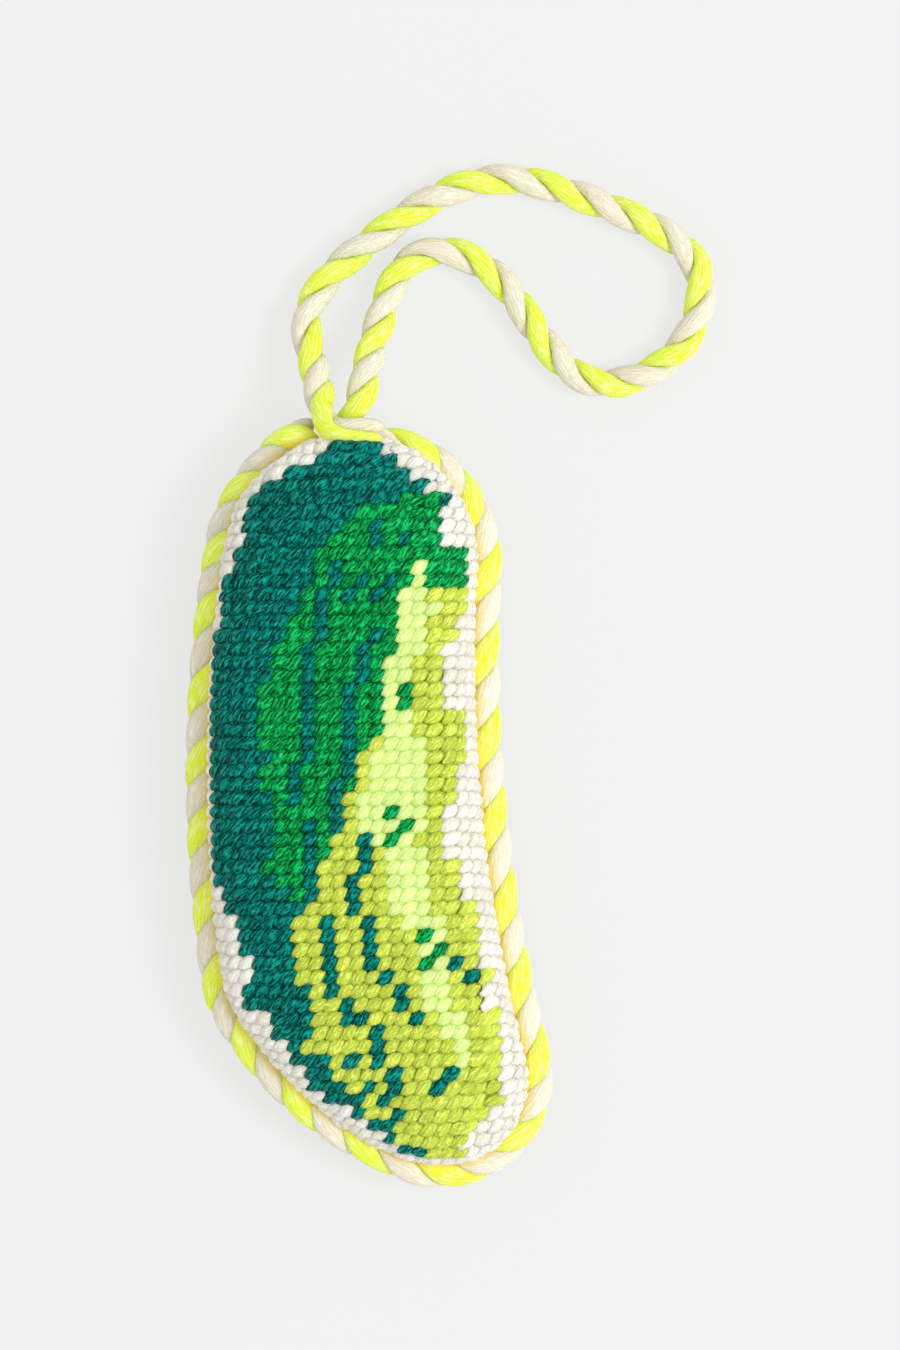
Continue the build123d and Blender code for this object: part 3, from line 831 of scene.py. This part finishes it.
class PICKLE_OT_edge_cord(bpy.types.Operator):
    """Make the two plies of the cord round the edge"""

    bl_idname = "pickle.edge_cord"
    bl_label = "Edge cord"

    def execute(self, context):
        sizes = context.scene.pickle_sizes
        points, ways = seam_line(CORD_REACH, spacing=0.5)
        root = int(np.argmin(np.linalg.norm(points - np.array(EDGE_YELLOW[0]), axis=1))) - EDGE_LEAD
        points, ways = np.roll(points, -root, 0), np.roll(ways, -root, 0)
        run = np.concatenate([[0.0], np.cumsum(np.linalg.norm(np.diff(points, axis=0), axis=1))])
        shift = np.interp(run, *zip(*EDGE_START_SHIFT)) + np.interp(run[-1] - run, *zip(*EDGE_END_SHIFT))
        points = points + shift[:, None] * ways
        middle = np.column_stack([points, np.full(len(points), SEAM_HEIGHT)]) * MM
        outward = np.column_stack([ways, np.zeros(len(ways))])
        upward = np.tile([0.0, 0.0, 1.0], (len(ways), 1))
        turn = twisted_turn(middle, EDGE_YELLOW)
        for index, material in enumerate(cord_materials()):
            name = ("edge_yellow_ply", "edge_cream_ply")[index]
            angle = turn + index * math.pi
            piece = ply_tube(name, middle, outward, upward, angle, sizes.cord_diameter, EDGE_PLY, material)
            mark_groove(piece, middle, outward)
            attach(piece, "ornament")
            if index == 0:
                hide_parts("edge_cord")
        return {"FINISHED"}


def face_share(height):
    """How far a height is from the seam towards the widest part of the face, from 0 to 1."""
    return min(1.0, max(0.0, (height - SEAM_HEIGHT) / FACE_LEAN_RISE))


def sewn_pad():
    """The cushion's skin before filling: rings round the seam line, closed by flat caps, then even cells."""
    sizes = bpy.context.scene.pickle_sizes
    points, ways = seam_line(0.0, spacing=2.0)
    vertices, faces = [], []
    rings = BACK_RINGS + FACE_RINGS
    count = len(points)
    for inset, height in rings:
        lean = np.array(FACE_LEAN) * face_share(height)
        for point, way in zip(points, ways):
            vertices.append((*((point - inset * way + lean) * MM), height * MM))
    for ring in range(len(rings) - 1):
        for step in range(count):
            beyond = (step + 1) % count
            low, high = ring * count, (ring + 1) * count
            faces.append((low + beyond, low + step, high + step, high + beyond))
    faces.append(tuple(range(count)))
    faces.append(tuple((len(rings) - 1) * count + step for step in reversed(range(count))))
    pad = mesh_piece("sewn_pad", vertices, faces, None)
    remesh = pad.modifiers.new("cells", "REMESH")
    remesh.mode = "VOXEL"
    remesh.voxel_size = sizes.cloth_cell
    mesh = evaluated_mesh(pad)
    pad.modifiers.clear()
    pad.data = mesh
    return pad


def fill_pad(pad):
    """Swell the pad by cloth simulation, held along its seam, and return the filled mesh."""
    scene = bpy.context.scene
    sizes = scene.pickle_sizes
    rest = np.array([vertex.co for vertex in pad.data.vertices])
    pad.data.vertices.foreach_set("co", (rest * SOLVER_SCALE).ravel())
    held = pad.vertex_groups.new(name="seam")
    seam = [int(i) for i in np.nonzero(abs(rest[:, 2] - SEAM_HEIGHT * MM) < HELD_BAND * MM)[0]]
    held.add(seam, 1.0, "REPLACE")
    cloth = pad.modifiers.new("filling", "CLOTH")
    cloth.settings.vertex_group_mass = "seam"
    cloth.settings.use_pressure = True
    cloth.settings.uniform_pressure_force = sizes.fill_pressure
    cloth.settings.effector_weights.gravity = 0.0
    cloth.point_cache.frame_end = FILL_FRAMES
    for number in range(1, FILL_FRAMES + 1):
        scene.frame_set(number)
    mesh = evaluated_mesh(pad)
    scene.frame_set(1)
    filled = np.array([vertex.co for vertex in mesh.vertices]) / SOLVER_SCALE
    move = filled - rest
    length = np.linalg.norm(move, axis=1)
    filled = rest + move * np.minimum(1.0, sizes.fill_limit / np.maximum(length, 1e-9))[:, None]
    filled[:, 2] = np.maximum(filled[:, 2], FLOOR_GAP * MM)
    mesh.vertices.foreach_set("co", filled.ravel())
    mesh.update()
    bpy.data.objects.remove(pad)
    return mesh


def kept_half(name, mesh, upper, material):
    """The part of the filled skin over or under the seam as a piece of its own."""
    half = bmesh.new()
    half.from_mesh(mesh)
    if upper:
        limit = (SEAM_HEIGHT - SEAM_LAP) * MM
        drop = [face for face in half.faces if face.calc_center_median().z < limit]
    else:
        limit = (SEAM_HEIGHT + SEAM_LAP) * MM
        drop = [face for face in half.faces if face.calc_center_median().z > limit]
    bmesh.ops.delete(half, geom=drop, context="FACES")
    for face in half.faces:
        face.smooth = True
    new_mesh = bpy.data.meshes.new(name)
    half.to_mesh(new_mesh)
    half.free()
    new_mesh.materials.append(material)
    piece = bpy.data.objects.new(name, new_mesh)
    bpy.context.collection.objects.link(piece)
    finer = piece.modifiers.new("finer", "SUBSURF")
    finer.levels = finer.render_levels = 1
    finer_mesh = evaluated_mesh(piece)
    piece.modifiers.clear()
    piece.data = finer_mesh
    return piece


class PICKLE_OT_cushion(bpy.types.Operator):
    """Sew and fill the cushion, and part it into canvas, backing and filling"""

    bl_idname = "pickle.cushion"
    bl_label = "Cushion"

    def execute(self, context):
        colours = context.scene.pickle_colours
        skin = fill_pad(sewn_pad())
        skin.name = "filled_skin"
        canvas = kept_half("canvas", skin, True, canvas_material())
        velveteen = cloth_material(
            "velveteen", colours.backing, scale=900.0, relief=0.15 * MM, roughness=0.9, sheen=0.4
        )
        backing = kept_half("velveteen_back", skin, False, velveteen)
        fibre = cloth_material(
            "fibre_fill", colours.filling, scale=500.0, relief=0.3 * MM, roughness=1.0, sheen=0.1
        )
        filling = bpy.data.objects.new("fibre_filling", skin.copy())
        context.collection.objects.link(filling)
        filling.data.materials.clear()
        filling.data.materials.append(fibre)
        places = np.array([vertex.co for vertex in filling.data.vertices])
        normals = np.array([vertex.normal for vertex in filling.data.vertices])
        filling.data.vertices.foreach_set("co", (places - normals * FIBRE_GAP * MM).ravel())
        for piece, node, slot in (
            (canvas, "canvas_front", "canvas"), (backing, "back_panel", "velveteen"),
            (filling, "stuffing", "fibre_fill"),
        ):
            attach(piece, "ornament")
            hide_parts(node)
        return {"FINISHED"}


def chart_value(edge, row):
    """Column of a shade's edge in one row, or None where the edge has no such row."""
    rows = [point[0] for point in edge]
    if not rows[0] <= row <= rows[-1]:
        return None
    return float(np.interp(row, rows, [point[1] for point in edge]))


def stitch_shade(row, column):
    """Shade of one stitch of the chart."""
    middle = column + 0.5
    start, end = chart_value(GREEN_START, row), chart_value(GREEN_END, row)
    if start is None or end is None or not start <= middle <= end:
        return "cream"
    for shade, (first, left), (last, right) in DASHES:
        if first <= row <= last:
            share = (row - first) / max(1, last - first)
            if int(left + (right - left) * share) == column:
                return shade
    neon_start, neon_end = chart_value(NEON_START, row), chart_value(NEON_END, row)
    if neon_start is not None and neon_start <= middle <= neon_end:
        return "neon"
    lime_start = chart_value(LIME_START, row)
    if row > LIME_START[-1][0] or (lime_start is not None and middle >= lime_start):
        return "lime"
    if row >= LIME_RIGHT_ROW and neon_end is not None and middle > neon_end:
        return "lime"
    emerald_start = chart_value(EMERALD_START, row)
    if emerald_start is not None and middle >= emerald_start:
        return "emerald"
    return "teal"


class PanelSkin:
    """Maps the flat canvas on the cushion's face: flat in the middle, wrapped over the sides to the seam."""

    def __init__(self):
        self.line, self.ways = seam_line(0.0, spacing=0.4)
        rings = np.array(FACE_RINGS)
        self.run = np.concatenate([[0.0], np.cumsum(np.linalg.norm(np.diff(rings, axis=0), axis=1))])
        self.rings = rings
        self.shoulder = rings[SHOULDER_RING:]
        self.flat_run = float(np.interp(FLAT_INSET, self.shoulder[:, 0], self.run[SHOULDER_RING:]))

    def place(self, x, y):
        """Point of the cushion under a point of the flat canvas, in mm, or None past the seam."""
        gap = self.line + FACE_LEAN - (x, y)
        nearest = int(np.argmin((gap**2).sum(axis=1)))
        way = self.ways[nearest]
        inset = float(gap[nearest] @ way)
        if inset >= FLAT_INSET:
            height = float(np.interp(inset, self.shoulder[:, 0], self.shoulder[:, 1]))
            return np.array([x, y, height])
        run = self.flat_run - (FLAT_INSET - inset)
        if run < SEAM_MARGIN:
            return None
        reach = float(np.interp(run, self.run, self.rings[:, 0]))
        height = float(np.interp(run, self.run, self.rings[:, 1]))
        lean = np.array(FACE_LEAN) * (face_share(height) - 1.0)
        return np.array([*((x, y) + (inset - reach) * way + lean), height])


def stitch_points(skin_mesh):
    """Places, turns and sizes of all stitches, by shade."""
    sizes = bpy.context.scene.pickle_sizes
    pitch = sizes.stitch_pitch / MM
    step = PROBE_SHARE * pitch
    sides = ((0, 0), (step, 0), (-step, 0), (0, step), (0, -step))
    panel = PanelSkin()
    corners = [vertex.co.copy() for vertex in skin_mesh.vertices]
    tree = BVHTree.FromPolygons(corners, [tuple(face.vertices) for face in skin_mesh.polygons])
    random = np.random.default_rng(STITCH_SEED)
    shades = {name: [] for name in ("cream", "teal", "emerald", "lime", "neon")}
    for row in CHART_ROWS:
        for column in CHART_COLUMNS:
            y = CHART_TOP - row * pitch - TOP_CROWDING * max(0.0, 1.0 - row / CROWDED_ROWS)
            lean = LEAN_RATE * max(0.0, LEAN_START - y) ** 2
            x = CHART_LEFT + (column + 0.5) * pitch + lean
            around = [panel.place(x + dx, y + dy) for dx, dy in sides]
            if around[0] is None:
                continue
            around = [around[0] if place is None else place for place in around]
            found = [tree.find_nearest(Vector(place) * MM) for place in around]
            spot, normal = found[0][:2]
            across = (found[1][0] - found[2][0]) / (2 * step * MM)
            along = (found[3][0] - found[4][0]) / (2 * step * MM)
            bend_across = found[1][1].angle(found[2][1])
            bend_along = found[3][1].angle(found[4][1])
            side = Vector(across)
            side = (side - normal * side.dot(normal)).normalized()
            over = normal.cross(side)
            jitter = random.normal(0.0, 1.0, 5)
            spin = Euler((0, 0, TURN_SPREAD * jitter[0])).to_matrix()
            turn = Matrix((side, over, normal)).transposed() @ spin
            width = across.length + BEND_STRETCH[0] * bend_across
            length = along.length + BEND_STRETCH[1] * bend_along
            size = np.clip([width, length, 1.0], *STITCH_STRETCH)
            size = size * (1.0 + SIZE_SPREAD * jitter[1:4])
            shift = side * (PLACE_SPREAD * jitter[4] * MM)
            shades[stitch_shade(row, column)].append((spot + shift, turn.to_euler(), size))
    return shades


def paint_canvas(canvas, shades):
    """Colour the canvas like the stitches over it, but darker and fuller: its own paint, with painted shade
    for the gaps between the stitches.
    """
    colours = bpy.context.scene.pickle_colours
    spots = []
    for shade, stitches in shades.items():
        spots.extend((stitch[0], getattr(colours, shade)) for stitch in stitches)
    finder = KDTree(len(spots))
    for index, (spot, _) in enumerate(spots):
        finder.insert(spot, index)
    finder.balance()
    paint = canvas.data.attributes.new("paint", "FLOAT_COLOR", "POINT")
    nearest = [spots[finder.find(vertex.co)[1]][1] for vertex in canvas.data.vertices]
    values = [(*deeper(colour, colours.canvas_depth), 1.0) for colour in nearest]
    paint.data.foreach_set("color", np.array(values).ravel())


def stitch_tree():
    """Geometry tree: one slanted tent stitch of yarn on every point, realised."""
    tree = bpy.data.node_groups.new("tent_stitches", "GeometryNodeTree")
    sockets = {}
    for name, kind in (
        ("Points", "NodeSocketGeometry"), ("Pitch", "NodeSocketFloat"), ("Width", "NodeSocketFloat"),
        ("Thickness", "NodeSocketFloat"), ("Rise", "NodeSocketFloat"), ("Seed", "NodeSocketInt"),
        ("Yarn", "NodeSocketMaterial"),
    ):
        sockets[name] = tree.interface.new_socket(name, in_out="INPUT", socket_type=kind).identifier
    tree.interface.new_socket("Stitches", in_out="OUTPUT", socket_type="NodeSocketGeometry")
    board = NodeBoard(tree)
    entry = board.node("NodeGroupInput", {})
    points, pitch, width, thickness, rise, seed, yarn = entry.outputs[:7]

    half = board.math("MULTIPLY", pitch, STITCH_HALF)
    sink = board.math("MULTIPLY", rise, -STITCH_SINK)
    start = board.add("ShaderNodeCombineXYZ", 0.0, board.math("MULTIPLY", half, -1.0), sink)
    end = board.add("ShaderNodeCombineXYZ", 0.0, half, sink)
    top = board.add("ShaderNodeCombineXYZ", 0.0, 0.0, board.math("MULTIPLY", rise, STITCH_ARCH))
    line = board.add("GeometryNodeCurveQuadraticBezier", STITCH_STEPS, start, top, end)
    line = board.add("GeometryNodeSetCurveNormal", line, mode="Z_UP")
    share = board.add("GeometryNodeSplineParameter")
    off_middle = board.math("ABSOLUTE", board.math("MULTIPLY_ADD", share, 2.0, -1.0))
    ends = board.math("POWER", off_middle, STITCH_END_POWER)
    plump = board.math("SQRT", board.math("SUBTRACT", STITCH_PLUMPNESS, ends))
    line, along = board.capture(line, "along", share)

    ring = board.add("GeometryNodeCurvePrimitiveCircle", STITCH_SIDES, None, None, None, 0.5)
    size = board.add("ShaderNodeCombineXYZ", width, thickness, 1.0)
    ring = board.node("GeometryNodeTransform", {"Geometry": ring, "Scale": size}).outputs[0]
    ring, around = board.capture(ring, "around", board.add("GeometryNodeSplineParameter"))
    feeds = {"Curve": line, "Profile Curve": ring, "Scale": plump, "Fill Caps": True}
    tube = board.node("GeometryNodeCurveToMesh", feeds).outputs[0]
    height = board.add("ShaderNodeSeparateXYZ", board.add("GeometryNodeInputPosition"), output=1)
    slant = board.add("ShaderNodeCombineXYZ", board.math("MULTIPLY", height, STITCH_SLANT), 0.0, 0.0)
    slanted = board.node("GeometryNodeSetPosition", {"Geometry": tube, "Offset": slant}).outputs[0]

    twist = board.math("MULTIPLY", along, STITCH_STRAND_TURN)
    angle = board.math("MULTIPLY_ADD", around, 2 * math.pi, twist)
    run = board.math("MULTIPLY", along, STITCH_STRAND_RUN)
    strand = board.add("ShaderNodeCombineXYZ", board.math("COSINE", angle), board.math("SINE", angle), run)
    stitch = board.store(slanted, "strand", strand, "FLOAT_VECTOR")

    feeds = {
        "Points": points, "Instance": stitch,
        "Rotation": board.stored("turn", "FLOAT_VECTOR"), "Scale": board.stored("size", "FLOAT_VECTOR"),
    }
    set_out = board.node("GeometryNodeInstanceOnPoints", feeds).outputs[0]
    chance = board.node("FunctionNodeRandomValue", {"Seed": seed}, data_type="FLOAT").outputs[1]
    dyed = board.store(set_out, "dye", chance, "FLOAT", domain="INSTANCE")
    real = board.add("GeometryNodeRealizeInstances", dyed)

    spread = board.math("MULTIPLY", board.stored("dye", "FLOAT"), STITCH_STRAND_SPREAD)
    apart = board.add("ShaderNodeCombineXYZ", 0.0, 0.0, spread)
    moved = board.add("ShaderNodeVectorMath", board.stored("strand", "FLOAT_VECTOR"), apart, operation="ADD")
    placed = board.store(real, "strand", moved, "FLOAT_VECTOR")
    smooth = board.add("GeometryNodeSetShadeSmooth", placed)
    dressed = board.node("GeometryNodeSetMaterial", {"Geometry": smooth, "Material": yarn}).outputs[0]
    board.node("NodeGroupOutput", {"Stitches": dressed})
    return tree, sockets


class PICKLE_OT_stitches(bpy.types.Operator):
    """Work the chart in tent stitches, one piece for each shade of wool"""

    bl_idname = "pickle.stitches"
    bl_label = "Stitches"

    def execute(self, context):
        sizes = context.scene.pickle_sizes
        colours = context.scene.pickle_colours
        tree, sockets = stitch_tree()
        shades = stitch_points(bpy.data.meshes["filled_skin"])
        paint_canvas(bpy.data.objects["canvas"], shades)
        for number, (shade, stitches) in enumerate(shades.items()):
            colour = np.array(getattr(colours, shade))
            # Painted shade between the strands of this shade's wool
            deep = deeper(colour, getattr(colours, f"{shade}_depth"))
            # Painted glow of this shade's wool
            glow = WOOL_GLOW.get(shade, 0.0) * colours.glow
            softness = WOOL_SOFTNESS.get(shade, 0.0)
            material = yarn_material(
                f"{shade}_wool", colour, deep, strand_count=7.0, strand_share=0.3, fibre_scale=3.0,
                relief=0.35 * MM, varied=0.1, glow=glow, softness=softness,
            )
            holder = mesh_piece(f"points_{shade}", [stitch[0] for stitch in stitches], [], None)
            for name, index in (("turn", 1), ("size", 2)):
                values = np.array([tuple(stitch[index]) for stitch in stitches])
                attribute = holder.data.attributes.new(name, "FLOAT_VECTOR", "POINT")
                attribute.data.foreach_set("vector", values.ravel())
            modifier = holder.modifiers.new("stitches", "NODES")
            modifier.node_group = tree
            for name, value in (
                ("Pitch", sizes.stitch_pitch), ("Width", sizes.stitch_width),
                ("Thickness", sizes.stitch_thickness), ("Rise", sizes.stitch_rise), ("Seed", number),
                ("Yarn", material),
            ):
                modifier[sockets[name]] = value
            piece = bpy.data.objects.new(f"stitches_{shade}", evaluated_mesh(holder))
            context.collection.objects.link(piece)
            bpy.data.objects.remove(holder)
            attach(piece, "ornament")
            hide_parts(f"yarn_{shade}")
        return {"FINISHED"}


class PICKLE_OT_threads(bpy.types.Operator):
    """Give the hidden sewing threads their finish"""

    bl_idname = "pickle.threads"
    bl_label = "Threads"

    def execute(self, context):
        colour = context.scene.pickle_colours.thread
        material = cloth_material(
            "sewing_thread", colour, scale=3000.0, relief=0.05 * MM, roughness=0.6, sheen=0.1
        )
        for name in ("seam_thread", "cord_thread"):
            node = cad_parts[name]
            node.data.materials.clear()
            node.data.materials.append(material)
        return {"FINISHED"}


class PICKLE_PT_sidebar(bpy.types.Panel):
    """Sizes, colours and steps of the ornament"""

    bl_idname = "PICKLE_PT_sidebar"
    bl_label = "Pickle ornament"
    bl_space_type = "VIEW_3D"
    bl_region_type = "UI"
    bl_category = "Pickle"

    def draw(self, context):
        for group in (context.scene.pickle_sizes, context.scene.pickle_colours, context.scene.pickle_stage):
            box = self.layout.box()
            for name in group.__annotations__:
                box.prop(group, name)
        for step in STEPS:
            self.layout.operator(step.bl_idname)


STEPS = (
    PICKLE_OT_stage, PICKLE_OT_hanging_loop, PICKLE_OT_edge_cord, PICKLE_OT_cushion, PICKLE_OT_stitches,
    PICKLE_OT_threads,
)
CLASSES = (PickleSizes, PickleColours, PickleStage, *STEPS, PICKLE_PT_sidebar)


def register():
    """Add the classes and the scene's settings."""
    for item in CLASSES:
        bpy.utils.register_class(item)
    bpy.types.Scene.pickle_sizes = bpy.props.PointerProperty(type=PickleSizes)
    bpy.types.Scene.pickle_colours = bpy.props.PointerProperty(type=PickleColours)
    bpy.types.Scene.pickle_stage = bpy.props.PointerProperty(type=PickleStage)


def unregister():
    """Remove the scene's settings and the classes."""
    del bpy.types.Scene.pickle_stage
    del bpy.types.Scene.pickle_colours
    del bpy.types.Scene.pickle_sizes
    for item in reversed(CLASSES):
        bpy.utils.unregister_class(item)


def main():
    """Build the ornament step by step."""
    register()
    bpy.ops.pickle.stage()
    bpy.ops.pickle.hanging_loop()
    bpy.ops.pickle.edge_cord()
    bpy.ops.pickle.cushion()
    bpy.ops.pickle.stitches()
    bpy.ops.pickle.threads()


if __name__ == "__main__":
    main()
